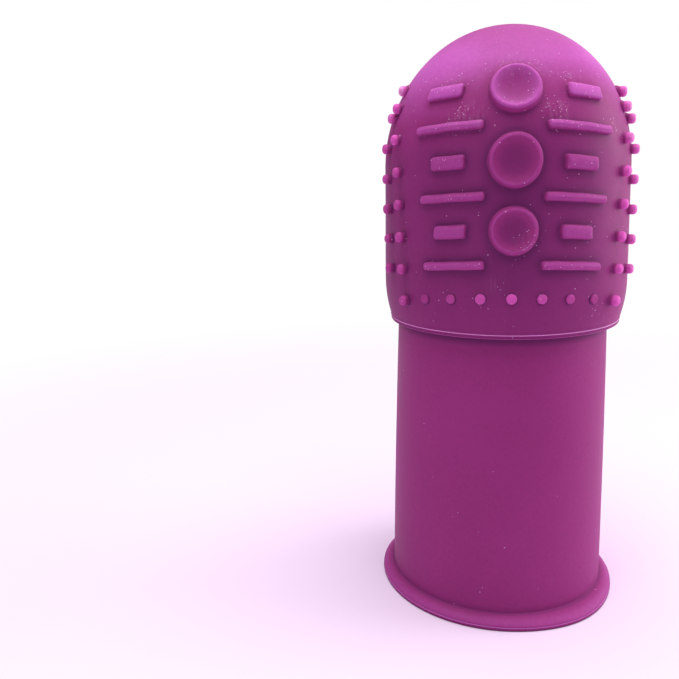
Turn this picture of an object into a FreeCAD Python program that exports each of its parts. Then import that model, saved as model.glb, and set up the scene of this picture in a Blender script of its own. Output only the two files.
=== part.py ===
import FreeCAD, Part
import math
import os

# Finger thimble of soft silicone, moulded in one piece: an open sleeve with a flanged rim,
# and a thicker domed cap that overhangs the sleeve and carries raised texture on its front.
# It stands on the rim. The origin is the centre of the rim's underside, +Z runs up the
# finger axis to the tip, and the texture faces -Y. All lengths are in millimetres.

# Sleeve and the flanged rim at its open end
sleeve_base_radius = 11.8
sleeve_top_radius = 11.2
rim_radius = 13.15
rim_edge_height = 0.5
rim_height = 1.4
rim_crown = 0.16
rim_edge_bevel = 0.18
mouth_bevel = 0.5

# Cap: a rounded skirt edge over the sleeve, a straight wall, a flank that leans in and
# a round dome
skirt_height = 31.0
skirt_band = 0.4
skirt_edge_radius = 12.2
skirt_corner_height = 2.6
skirt_corner_steps = 3
cap_radius = 12.7
wall_height = 11.4
flank_height = 4.62
dome_radius = 12.3
dome_start_deg = 5.7

# Finger hole: straight to above the cap's shoulder, then a leaning flank and a round end
hole_radius = 9.8
hole_straight_rise = 4.0
hole_flank_height = 4.6
hole_flank_radius = 7.8
hole_end_radius = 9.0
hole_end_start_deg = 65.0
tip_wall = 3.0

# Texture rows, counted up from the skirt edge: each lies in a plane that tips down towards
# the back, and the ribs widen by a fixed ratio from one row of discs to the next one up
first_row_rise = 3.65
row_pitch = 3.15
row_tilt_deg = 9.0
row_spread = 1.04
texture_root = 1.0

# Dished discs down the middle of the front, rows 2, 4 and 6 above the stud row
low_disc_radius = 2.13
middle_disc_radius = 2.34
top_disc_radius = 2.24
disc_rim_height = 0.55
disc_rim_bevel = 0.14
disc_rim_flat = 0.2
disc_dish_depth = 0.42
disc_draft = 0.12

# Ribs beside the discs (short, wide) and between them (long, slim)
rib_rise = 0.5
short_rib_inner = 4.25
short_rib_length = 2.85
short_rib_width = 1.25
long_rib_inner = 2.55
long_rib_length = 5.5
long_rib_width = 0.76

# Low studs along the bottom row
stud_radius = 0.52
stud_rise = 0.35
stud_bevel = 0.1
stud_pitch_deg = 12.6
studs_each_side = 3

# Nubs: two columns of short pegs down each side
nub_radius = 0.5
nub_rise = 0.88
nub_bevel = 0.16
nubs_per_column = 7
inner_nub_reach = 11.25
inner_nub_reach_step = 0.27
outer_nub_angle_deg = 64.8
outer_nub_angle_step_deg = 1.4
outer_nub_first_rise = 5.6
outer_nub_pitch = 2.95
outer_nub_top_drop = 0.3
peg_sides = 8

shoulder_height = skirt_height + skirt_corner_height + wall_height
hole_straight_height = shoulder_height + hole_straight_rise
first_row_height = skirt_height + first_row_rise
flank_top = shoulder_height + flank_height
dome_centre_height = flank_top - dome_radius * math.sin(math.radians(dome_start_deg))
flank_top_radius = dome_radius * math.cos(math.radians(dome_start_deg))
total_height = dome_centre_height + dome_radius


def profile_point(radius, height):
    return FreeCAD.Vector(radius, 0, height)


def polyline(points):
    return [Part.makeLine(a, b) for a, b in zip(points, points[1:])]


def turned_polyline(points):
    """Polyline whose slanted edges are curves of first degree."""
    edges = []
    for start, end in zip(points, points[1:]):
        if start.z == end.z:
            edges.append(Part.makeLine(start, end))
            continue
        curve = Part.BezierCurve()
        curve.setPoles([start, end])
        edges.append(curve.toShape())
    return edges


def arc(centre, radius, start_deg, end_deg):
    """Arc of a half profile, with angles measured upwards from level."""
    points = []
    for angle in (start_deg, (start_deg + end_deg) / 2, end_deg):
        turn = math.radians(angle)
        points.append(centre + profile_point(radius * math.cos(turn), radius * math.sin(turn)))
    return Part.Arc(*points).toShape()


def revolved(edges):
    """Solid of a closed half profile turned about the finger axis."""
    face = Part.Face(Part.Wire(edges))
    return face.revolve(FreeCAD.Vector(0, 0, 0), FreeCAD.Vector(0, 0, 1), 360)


def cap_normal_at(height):
    """Outer radius of the plain cap at a height, and how far its normal tips up."""
    if height > flank_top:
        rise = height - dome_centre_height
        reach = math.sqrt(dome_radius**2 - rise**2)
        return reach, math.degrees(math.atan2(rise, reach))
    if height > shoulder_height:
        lean = (cap_radius - flank_top_radius) / flank_height
        return cap_radius - lean * (height - shoulder_height), math.degrees(math.atan(lean))
    return cap_radius, 0.0


def cap_radius_at(height):
    return cap_normal_at(height)[0]


def skirt_corner_points():
    """Points up the rounded skirt edge, from its lip to the foot of the cap's wall."""
    depth = cap_radius - skirt_edge_radius
    corner_radius = (skirt_corner_height**2 + depth**2) / (2 * depth)
    whole_turn = math.asin(skirt_corner_height / corner_radius)
    points = []
    for step in range(skirt_corner_steps + 1):
        turn = whole_turn * (1 - step / skirt_corner_steps)
        radius = cap_radius - corner_radius * (1 - math.cos(turn))
        height = skirt_height + skirt_corner_height - corner_radius * math.sin(turn)
        points.append(profile_point(radius, height))
    return points


def cap_edges(growth):
    """Cap outline from the foot of its wall to the tip, moved outwards by growth."""
    dome_centre = profile_point(0, dome_centre_height)
    dome = arc(dome_centre, dome_radius + growth, dome_start_deg, 90)
    wall = [
        profile_point(cap_radius + growth, skirt_height + skirt_corner_height),
        profile_point(cap_radius + growth, shoulder_height),
        dome.Vertexes[0].Point,
    ]
    return polyline(wall) + [dome]


def make_body():
    """Plain thimble: sleeve, rim, cap and the blind hole for the finger."""
    rim_middle = (rim_radius + sleeve_base_radius) / 2
    crown_height = (rim_edge_height + rim_height) / 2
    band_height = skirt_height - skirt_band
    outside = [
        profile_point(hole_radius, mouth_bevel),
        profile_point(hole_radius + mouth_bevel, 0),
        profile_point(rim_radius - rim_edge_bevel, 0),
        profile_point(rim_radius, rim_edge_bevel),
        profile_point(rim_radius, rim_edge_height),
        profile_point(rim_middle + rim_crown / 2, crown_height + rim_crown),
        profile_point(sleeve_base_radius, rim_height),
        profile_point(sleeve_top_radius, band_height),
        profile_point(skirt_edge_radius, band_height),
    ] + skirt_corner_points()
    hole_end_centre = profile_point(0, total_height - tip_wall - hole_end_radius)
    hole_end = arc(hole_end_centre, hole_end_radius, 90, hole_end_start_deg)
    hole_side = [
        hole_end.Vertexes[-1].Point,
        profile_point(hole_flank_radius, hole_straight_height + hole_flank_height),
        profile_point(hole_radius, hole_straight_height),
        outside[0],
    ]
    axis = [profile_point(0, total_height), hole_end.Vertexes[0].Point]
    hole = polyline(axis) + [hole_end] + polyline(hole_side)
    return revolved(turned_polyline(outside) + cap_edges(0) + hole)


def make_texture_skin():
    """Skin over the cap's wall and dome, from inside them to the top of the ribs."""
    shells = []
    for growth in (rib_rise, -texture_root):
        outline = cap_edges(growth)
        start = outline[0].Vertexes[0].Point
        tip = outline[-1].Vertexes[-1].Point
        floor = profile_point(0, start.z)
        shells.append(revolved(outline + polyline([tip, floor, start])))
    return shells[0].cut(shells[1])


def make_rib(skin, row, inner, length, width):
    """One raised rib right of the middle, cut from the skin by a tipped slab."""
    height = first_row_height + row * row_pitch
    slab = Part.makeBox(length, 2 * cap_radius, width)
    slab.translate(FreeCAD.Vector(inner, -2 * cap_radius, -width / 2))
    slab.rotate(FreeCAD.Vector(0, 0, 0), FreeCAD.Vector(1, 0, 0), row_tilt_deg)
    drop = cap_radius_at(height) * math.tan(math.radians(row_tilt_deg))
    slab.translate(FreeCAD.Vector(0, 0, height + drop))
    return skin.common(slab)


def mirrored(shape):
    """The same shape on the other side of the middle plane."""
    return shape.mirror(FreeCAD.Vector(0, 0, 0), FreeCAD.Vector(1, 0, 0))


def make_ribs():
    """Short ribs beside the discs and long ribs between them, on both sides."""
    skin = make_texture_skin()
    ribs = []
    for step in range(3):
        spread = row_spread**step
        long_rib = make_rib(
            skin, 2 * step + 1, long_rib_inner * spread, long_rib_length * spread, long_rib_width
        )
        short_rib = make_rib(
            skin, 2 * step + 2, short_rib_inner * spread, short_rib_length * spread, short_rib_width
        )
        for rib in (long_rib, short_rib):
            ribs += [rib, mirrored(rib)]
    return ribs


def place_outwards(shape, angle_deg, slope_deg, height):
    """Stand a shape built along +Z on the cap surface, pointing outwards."""
    shape.rotate(FreeCAD.Vector(0, 0, 0), FreeCAD.Vector(1, 0, 0), 90 - slope_deg)
    shape.translate(FreeCAD.Vector(0, -cap_radius_at(height), height))
    shape.rotate(FreeCAD.Vector(0, 0, 0), FreeCAD.Vector(0, 0, 1), angle_deg)
    return shape


def make_disc(step):
    """Round boss with a bevelled crest and a face dished to part of a sphere."""
    radius = (low_disc_radius, middle_disc_radius, top_disc_radius)[step]
    crest_radius = radius - disc_rim_bevel
    outline = [
        profile_point(0, disc_rim_height),
        profile_point(0, -texture_root),
        profile_point(radius + disc_draft, -texture_root),
        profile_point(radius, disc_rim_height - disc_rim_bevel),
        profile_point(crest_radius, disc_rim_height),
        profile_point(0, disc_rim_height),
    ]
    dish_edge = crest_radius - disc_rim_flat
    ball_radius = (dish_edge**2 + disc_dish_depth**2) / (2 * disc_dish_depth)
    ball_centre = profile_point(0, disc_rim_height + ball_radius - disc_dish_depth)
    disc = revolved(polyline(outline)).cut(Part.makeSphere(ball_radius, ball_centre))
    height = first_row_height + (2 * step + 2) * row_pitch
    return place_outwards(disc, 0, cap_normal_at(height)[1], height)


def make_peg(radius, rise, bevel):
    """Many-sided peg along +Z with a bevelled tip, rooted below the surface."""
    corners = []
    for side in range(peg_sides + 1):
        turn = 2 * math.pi * (side % peg_sides) / peg_sides
        corners.append(FreeCAD.Vector(radius * math.cos(turn), radius * math.sin(turn), 0))
    foot = Part.Face(Part.makePolygon(corners))
    peg = foot.extrude(FreeCAD.Vector(0, 0, texture_root + rise))
    tip_edges = [edge for edge in peg.Edges if edge.BoundBox.ZMin > texture_root + rise / 2]
    peg = peg.makeChamfer(bevel, tip_edges)
    peg.translate(FreeCAD.Vector(0, 0, -texture_root))
    return peg


def row_height_at(row, angle_deg):
    """Height of a tipped row where it passes a given angle from the front."""
    middle = first_row_height + row * row_pitch
    depth = cap_radius_at(middle) * (1 - math.cos(math.radians(angle_deg)))
    return middle - depth * math.tan(math.radians(row_tilt_deg))


def make_studs():
    """Bottom row of low studs, evenly spaced about the middle."""
    studs = []
    for place in range(-studs_each_side, studs_each_side + 1):
        angle = place * stud_pitch_deg
        stud = make_peg(stud_radius, stud_rise, stud_bevel)
        studs.append(place_outwards(stud, angle, 0, row_height_at(0, angle)))
    return studs


def make_nubs():
    """Two columns of level pegs on each side, the inner one on the texture rows."""
    nubs = []
    for place in range(nubs_per_column):
        reach = inner_nub_reach + place * inner_nub_reach_step
        row_radius = cap_radius_at(first_row_height + place * row_pitch)
        inner_angle = math.degrees(reach / row_radius)
        inner_height = row_height_at(place, inner_angle)
        outer_angle = outer_nub_angle_deg + place * outer_nub_angle_step_deg
        outer_height = skirt_height + outer_nub_first_rise + place * outer_nub_pitch
        if place == nubs_per_column - 1:
            outer_height -= outer_nub_top_drop
        places = [(inner_angle, inner_height), (outer_angle, outer_height)]
        for angle, height in places:
            for side in (-1, 1):
                nub = make_peg(nub_radius, nub_rise, nub_bevel)
                nubs.append(place_outwards(nub, side * angle, 0, height))
    return nubs


def make_thimble():
    """Whole moulding as one solid."""
    discs = [make_disc(step) for step in range(3)]
    features = discs + make_ribs() + make_studs() + make_nubs()
    return make_body().fuse(features).removeSplitter()


os.makedirs("parts", exist_ok=True)
thimble = make_thimble()
thimble.exportStep("parts/finger_thimble.step")
print("solids", len(thimble.Solids), "volume mm3", round(thimble.Volume, 1))
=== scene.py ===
"""Looks of a soft silicone finger thimble: an open sleeve with a rolled rim and a domed cap.

The moulding is one closed skin. Its cap is meshed around raised discs and ribs, and the
small round pegs on it come from a node tree. Lengths in the classes are millimetres.
"""

import logging
import math
from dataclasses import dataclass
from enum import Enum

import bmesh
import bpy
import numpy as np
from mathutils import Matrix, Vector
from mathutils.geometry import delaunay_2d_cdt

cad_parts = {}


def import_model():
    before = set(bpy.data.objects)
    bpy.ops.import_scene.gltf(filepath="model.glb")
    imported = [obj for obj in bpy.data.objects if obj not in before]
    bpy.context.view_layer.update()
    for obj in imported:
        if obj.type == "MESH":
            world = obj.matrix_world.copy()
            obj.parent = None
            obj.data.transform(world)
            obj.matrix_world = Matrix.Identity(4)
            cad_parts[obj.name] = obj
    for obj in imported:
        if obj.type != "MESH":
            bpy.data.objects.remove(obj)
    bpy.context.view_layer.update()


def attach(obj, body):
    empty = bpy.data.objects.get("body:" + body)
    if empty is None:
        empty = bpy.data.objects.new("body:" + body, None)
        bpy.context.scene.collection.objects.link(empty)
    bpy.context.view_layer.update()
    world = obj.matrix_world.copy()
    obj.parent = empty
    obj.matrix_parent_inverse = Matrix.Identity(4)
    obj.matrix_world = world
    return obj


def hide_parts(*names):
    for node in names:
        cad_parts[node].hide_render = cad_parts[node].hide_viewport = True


LOG = logging.getLogger("thimble")
MM = 0.001


class PegKind(Enum):
    """The two kinds of small round peg on the cap."""

    NUB = "side_nubs"
    STUD = "bottom_studs"


def linear(red: float, green: float, blue: float) -> tuple[float, float, float, float]:
    """Turn a display colour into the scene's linear colour.

    Args:
        red: Red from 0 to 255.
        green: Green from 0 to 255.
        blue: Blue from 0 to 255.

    Returns:
        Linear colour with an opacity of 1.
    """
    values = []
    for part in (red, green, blue):
        share = part / 255
        values.append(share / 12.92 if share <= 0.04045 else ((share + 0.055) / 1.055) ** 2.4)
    return (*values, 1.0)


@dataclass
class Meridian:
    """Half outline of the cap, measured by the distance along it."""

    edge_height: float = 31.04
    edge_radius: float = 12.2
    belly_height: float = 34.97
    belly_radius: float = 12.78
    shoulder_height: float = 46.5
    shoulder_radius: float = 12.6
    dome_height: float = 14.195
    dome_power: float = 2.03
    wall_ease: float = 0.35
    sway: float = 0.2
    sway_top: float = 50.0
    samples: int = 900

    def __post_init__(self) -> None:
        """Sample the outline and its normals once."""
        rise = self.belly_height - self.edge_height
        depth = self.belly_radius - self.edge_radius
        corner = (rise**2 + depth**2) / (2 * depth)
        turn = np.linspace(math.asin(rise / corner), 0, self.samples // 6, endpoint=False)
        radius = [self.belly_radius - corner * (1 - np.cos(turn))]
        height = [self.belly_height - corner * np.sin(turn)]
        share = np.linspace(0, 1, self.samples // 3, endpoint=False)
        ease = smooth_step(share, 0, 1) * self.wall_ease + share * (1 - self.wall_ease)
        radius.append(self.belly_radius + (self.shoulder_radius - self.belly_radius) * ease)
        height.append(self.belly_height + (self.shoulder_height - self.belly_height) * share)
        turn = np.linspace(0, math.pi / 2, self.samples)
        power = 2 / self.dome_power
        radius.append(self.shoulder_radius * np.cos(turn).clip(0) ** power)
        height.append(self.shoulder_height + self.dome_height * np.sin(turn).clip(0) ** power)
        self.radii = np.concatenate(radius)
        self.heights = np.concatenate(height)
        self.radii[-1] = 0.0
        steps = np.hypot(np.diff(self.radii), np.diff(self.heights))
        self.lengths = np.concatenate([[0.0], np.cumsum(steps)])
        along_r = np.gradient(self.radii, self.lengths)
        along_z = np.gradient(self.heights, self.lengths)
        size = np.hypot(along_r, along_z)
        self.normal_r = along_z / size
        self.normal_z = -along_r / size

    @property
    def length(self) -> float:
        """Whole length of the outline."""
        return float(self.lengths[-1])

    def at_height(self, height: float) -> float:
        """Distance along the outline at a height."""
        return float(np.interp(height, self.heights, self.lengths))

    def radius(self, along: np.ndarray) -> np.ndarray:
        """Radius at distances along the outline."""
        return np.interp(along, self.lengths, self.radii)

    def height(self, along: np.ndarray) -> np.ndarray:
        """Height at distances along the outline."""
        return np.interp(along, self.lengths, self.heights)

    def shift(self, height: np.ndarray) -> np.ndarray:
        """How far the soft cap stands to the right at a height."""
        return np.interp(height, (self.edge_height, self.sway_top), (self.sway, 0.0))

    @staticmethod
    def sway_share(angle: np.ndarray) -> np.ndarray:
        """Share of the shift that the cap takes at an angle; its front hardly moves."""
        return 1 - 0.8 * np.cos(angle).clip(0) ** 2

    def place(self, angle: np.ndarray, along: np.ndarray, lift: np.ndarray) -> np.ndarray:
        """Points on or above the cap.

        Args:
            angle: Angles from the front, in radians.
            along: Distances along the outline.
            lift: Heights above the surface, along its normal.

        Returns:
            One row of x, y and z for each point.
        """
        out = self.radius(along) + lift * np.interp(along, self.lengths, self.normal_r)
        up = self.height(along) + lift * np.interp(along, self.lengths, self.normal_z)
        side = out * np.sin(angle) + self.shift(up) * self.sway_share(angle)
        return np.stack([side, -out * np.cos(angle), up], axis=-1)

    def normal(self, angle: float, along: float) -> np.ndarray:
        """Outward normal of the cap.

        Args:
            angle: Angle from the front, in radians.
            along: Distance along the outline.

        Returns:
            The normal's x, y and z.
        """
        out = float(np.interp(along, self.lengths, self.normal_r))
        up = float(np.interp(along, self.lengths, self.normal_z))
        return np.array([out * math.sin(angle), -out * math.cos(angle), up])


@dataclass
class TextureRows:
    """Rows of the raised pattern: planes that tip down towards the back."""

    meridian: Meridian
    first_height: float = 34.65
    pitch: float = 3.15
    tilt_deg: float = 9.0
    lean_deg: float = 0.25
    spread: float = 1.04

    def __post_init__(self) -> None:
        """Prepare the angles at which a row's course is worked out."""
        self.angles = np.linspace(-1.3, 1.3, 105)

    def course(self, row: float) -> np.ndarray:
        """Distance along the outline at which a row passes each of the prepared angles.

        Args:
            row: Number of the row, counted up from the row of studs.

        Returns:
            One distance for each prepared angle.
        """
        middle = self.first_height + row * self.pitch
        slope = math.tan(math.radians(self.tilt_deg))
        lean = math.tan(math.radians(self.lean_deg * row))
        front = float(self.meridian.radius(self.meridian.at_height(middle)))
        level = middle - slope * front
        found = []
        for angle in self.angles:
            back = slope * math.cos(angle) - lean * math.sin(angle)
            tipped = self.meridian.heights - back * self.meridian.radii
            found.append(float(np.interp(level, tipped, self.meridian.lengths)))
        return np.array(found)


@dataclass
class Outline:
    """A closed ring of points in the unrolled cap: angle and distance along the outline."""

    angle: np.ndarray
    along: np.ndarray


@dataclass
class Patch:
    """Raised form on the cap: its points, faces and the ring where it meets the cap."""

    points: np.ndarray
    tones: np.ndarray
    faces: list[tuple[int, ...]]
    ring: Outline
    ring_size: int


def smooth_step(values: np.ndarray, low: float, high: float) -> np.ndarray:
    """Smooth step from 0 at low to 1 at high, for each value."""
    share = ((values - low) / (high - low)).clip(0, 1)
    return share * share * (3 - 2 * share)


@dataclass(frozen=True)
class CapPaintedLight:
    """Painted light and shade of the cap: tones from -1, painted shade, through 0 to 1, painted
    light.

    A pair is where a tone fades in or out, first its end without the tone: a turn is in degrees
    from the front, and a foot or head is a height.
    """

    # Painted tone by height: painted shade low on the cap, painted light on the dome.
    levels: tuple[float, ...] = (31.0, 36.0, 48.0, 53.0, 56.5, 60.6)
    level_tones: tuple[float, ...] = (-0.37, -0.42, -0.36, 0.07, 0.66, 0.3)
    # Painted shade down the cap's front, which faces away from the lamps.
    front_painted_shade: float = 0.2
    front_width: float = 3.2
    front_turn: tuple[float, float] = (90, 60)
    front_foot: tuple[float, float] = (33, 37)
    front_head: tuple[float, float] = (53.5, 51)
    # Painted light on the right flank and on the dome's left side.
    right_painted_light: float = 0.35
    right_turn: tuple[float, float] = (32, 76)
    left_painted_light: float = 0.32
    left_turn: tuple[float, float] = (8, 42)
    left_foot: tuple[float, float] = (48, 52.5)
    side_turn: tuple[float, float] = (160, 95)
    side_head: tuple[float, float] = (60, 56.5)
    # Painted highlights on the tops of ribs, paler higher up.
    crest_levels: tuple[float, ...] = (38.0, 47.0, 51.0, 54.0)
    crest_painted_light: tuple[float, ...] = (0.45, 0.4, 0.6, 0.95)
    # Painted shade at the roots of raised forms.
    root: float = -0.55
    root_power: float = 0.8
    # Painted contact shade on the skin next to raised forms.
    contact_painted_shade: float = 0.35
    contact_reach: float = 0.4

    def skin(self, points: np.ndarray) -> np.ndarray:
        """Painted shade down the plain skin's front, painted light on its dome and right flank.

        Args:
            points: Points in millimetres.

        Returns:
            One tone for each point.
        """
        across, height = points[:, 0], points[:, 2]
        angle = np.degrees(np.arctan2(across, -points[:, 1]))
        front = np.exp(-((across / self.front_width) ** 2))
        front *= smooth_step(abs(angle), *self.front_turn)
        front *= smooth_step(height, *self.front_head) * smooth_step(height, *self.front_foot)
        sides = smooth_step(abs(angle), *self.side_turn) * smooth_step(height, *self.side_head)
        right = smooth_step(angle, *self.right_turn) * sides
        left = smooth_step(-angle, *self.left_turn) * smooth_step(height, *self.left_foot) * sides
        tone = np.interp(height, self.levels, self.level_tones)
        return tone - self.front_painted_shade * front + self.right_painted_light * right + self.left_painted_light * left

    def crest(self, height: float) -> float:
        """Painted highlight on the tops of ribs at a height, as a tone."""
        return float(np.interp(height, self.crest_levels, self.crest_painted_light))

    def painted_shade_to_light(self, share: float, top: float) -> float:
        """Tone at a share of a form's height, from painted shade at its root to painted light at
        its top.
        """
        return self.root + (top - self.root) * min(1.0, max(0.0, share)) ** self.root_power


PAINTED_LIGHT = CapPaintedLight()


@dataclass
class RaisedRib:
    """One bar with a rounded top edge, rounded corners and a fillet at its root."""

    rows: TextureRows
    row: int
    inner: float
    length: float
    width: float
    side: int
    rise: float = 0.5
    corner: float = 0.28
    crest_round: float = 0.24
    root_round: float = 0.1
    crown: float = 0.05
    wobble: float = 0.03
    long_step: float = 0.4
    short_step: float = 0.3
    round_steps: int = 6

    def section(self) -> list[tuple[float, float]]:
        """Steps from the root up to the flat top.

        Returns:
            Offset from the wall and height of each step.
        """
        steps = []
        turns = np.linspace(0, math.pi / 2, self.round_steps)
        for turn in turns:
            offset = self.root_round * (1 - math.sin(turn))
            steps.append((offset, self.root_round * (1 - math.cos(turn))))
        for turn in turns:
            offset = -self.crest_round * (1 - math.cos(turn))
            steps.append((offset, self.rise - self.crest_round * (1 - math.sin(turn))))
        return steps

    def ring(self, half_length: float, half_width: float, offset: float) -> np.ndarray:
        """Ring of points around the bar, moved outwards by an offset.

        Args:
            half_length: Half of the bar's length along the row.
            half_width: Half of its width.
            offset: Distance outwards from the wall.

        Returns:
            One row of distance along the row and across it for each point.
        """
        radius = self.corner + offset
        flat_x = half_length - self.corner
        flat_y = half_width - self.corner
        long_steps = max(2, round(2 * flat_x / self.long_step))
        short_steps = max(2, round(2 * flat_y / self.short_step))
        eighth = np.linspace(0, math.pi / 4, 4)
        corners = [(1, -1), (1, 1), (-1, 1), (-1, -1)]
        points = []
        for number, (step_x, step_y) in enumerate(corners):
            start = -math.pi / 2 + number * math.pi / 2
            before = corners[number - 1]
            count = long_steps if number % 2 == 0 else short_steps
            from_x, from_y = before[0] * flat_x, before[1] * flat_y
            to_x, to_y = step_x * flat_x, step_y * flat_y
            for turn in eighth[:-1] + start - math.pi / 4:
                points.append((from_x + radius * math.cos(turn), from_y + radius * math.sin(turn)))
            for share in np.linspace(0, 1, count, endpoint=False):
                x = from_x + (to_x - from_x) * share + radius * math.cos(start)
                y = from_y + (to_y - from_y) * share + radius * math.sin(start)
                points.append((x, y))
            for turn in eighth[:-1] + start:
                points.append((to_x + radius * math.cos(turn), to_y + radius * math.sin(turn)))
        self.long_count = long_steps + 6
        self.short_count = short_steps + 6
        return np.array(points)

    def top(self, ring: np.ndarray) -> tuple[np.ndarray, list[list[int]]]:
        """Grid that fills the flat top inside its last ring.

        Args:
            ring: The last ring, which starts at the corner between its low and left side.

        Returns:
            The new inner points, and the grid's point numbers, where the ring comes first.
        """
        count_u, count_v = self.long_count, self.short_count
        size = len(ring)
        low = ring[: count_u + 1]
        right = ring[count_u : count_u + count_v + 1]
        high = ring[count_u + count_v : 2 * count_u + count_v + 1][::-1]
        left = np.concatenate([ring[2 * count_u + count_v :], ring[:1]])[::-1]
        numbers = [[0] * (count_u + 1) for _ in range(count_v + 1)]
        inner = []
        for v in range(count_v + 1):
            for u in range(count_u + 1):
                if v == 0:
                    numbers[v][u] = u
                elif u == count_u:
                    numbers[v][u] = count_u + v
                elif v == count_v:
                    numbers[v][u] = 2 * count_u + count_v - u
                elif u == 0:
                    numbers[v][u] = (size - v) % size
                else:
                    a, b = u / count_u, v / count_v
                    across = low[u] * (1 - b) + high[u] * b
                    down = left[v] * (1 - a) + right[v] * a
                    ends = (
                        low[0] * (1 - a) * (1 - b)
                        + low[-1] * a * (1 - b)
                        + high[0] * (1 - a) * b
                        + high[-1] * a * b
                    )
                    numbers[v][u] = size + len(inner)
                    inner.append(across + down - ends)
        return np.array(inner), numbers

    def build(self) -> Patch:
        """Mesh the bar in place.

        Returns:
            The bar as a patch with its root ring first.
        """
        meridian = self.rows.meridian
        course = self.rows.course(self.row)
        reach = meridian.radius(course) * np.sin(self.rows.angles)
        start, end = np.interp([self.inner, self.inner + self.length], reach, self.rows.angles)
        middle = (start + end) / 2
        radius = float(meridian.radius(np.interp(middle, self.rows.angles, course)))
        half_length = (end - start) / 2 * radius
        half_width = self.width / 2

        def mapped(flat: np.ndarray, lift: np.ndarray) -> tuple[Outline, np.ndarray]:
            """Carry flat points onto the cap, a little off true as in soft moulding.

            Args:
                flat: Distance along the row and across it for each point.
                lift: Height of each point above the cap.

            Returns:
                The points in the unrolled cap, and in place.
            """
            phase = 1.7 * self.row + self.side
            run = flat[:, 0] + self.wobble * np.sin(4.1 * flat[:, 1] + phase)
            cross = flat[:, 1] + self.wobble * np.sin(2.3 * flat[:, 0] + 2 * phase) / 2
            angle = self.side * (middle + run / radius)
            along = np.interp(angle, self.rows.angles, course) + cross
            return Outline(angle, along), meridian.place(angle, along, lift)

        # Painted highlight on the rib's top, and painted shade at its root.
        pale = PAINTED_LIGHT.crest(self.rows.first_height + self.row * self.rows.pitch)
        points, tones, faces, first = [], [], [], None
        section = self.section()
        for number, (offset, lift) in enumerate(section):
            flat = self.ring(half_length, half_width, offset)
            outline, placed = mapped(flat, np.full(len(flat), lift))
            first = first or outline
            points.append(placed)
            size = len(flat)
            tones.append(np.full(size, PAINTED_LIGHT.painted_shade_to_light(lift / self.rise, pale)))
            if number:
                low, high = (number - 1) * size, number * size
                for k in range(size):
                    after = (k + 1) % size
                    faces.append((low + k, low + after, high + after, high + k))
        inner, numbers = self.top(flat)
        edge = half_width - self.crest_round
        bulge = self.crown * (1 - (inner[:, 1] / edge) ** 2).clip(0)
        points.append(mapped(inner, self.rise + bulge)[1])
        tones.append(np.full(len(inner), pale))
        base = (len(section) - 1) * size
        for low, high in zip(numbers, numbers[1:]):
            for k in range(len(low) - 1):
                faces.append((base + low[k], base + low[k + 1], base + high[k + 1], base + high[k]))
        if self.side < 0:
            faces = [face[::-1] for face in faces]
        return Patch(np.concatenate(points), np.concatenate(tones), faces, first, size)


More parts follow.
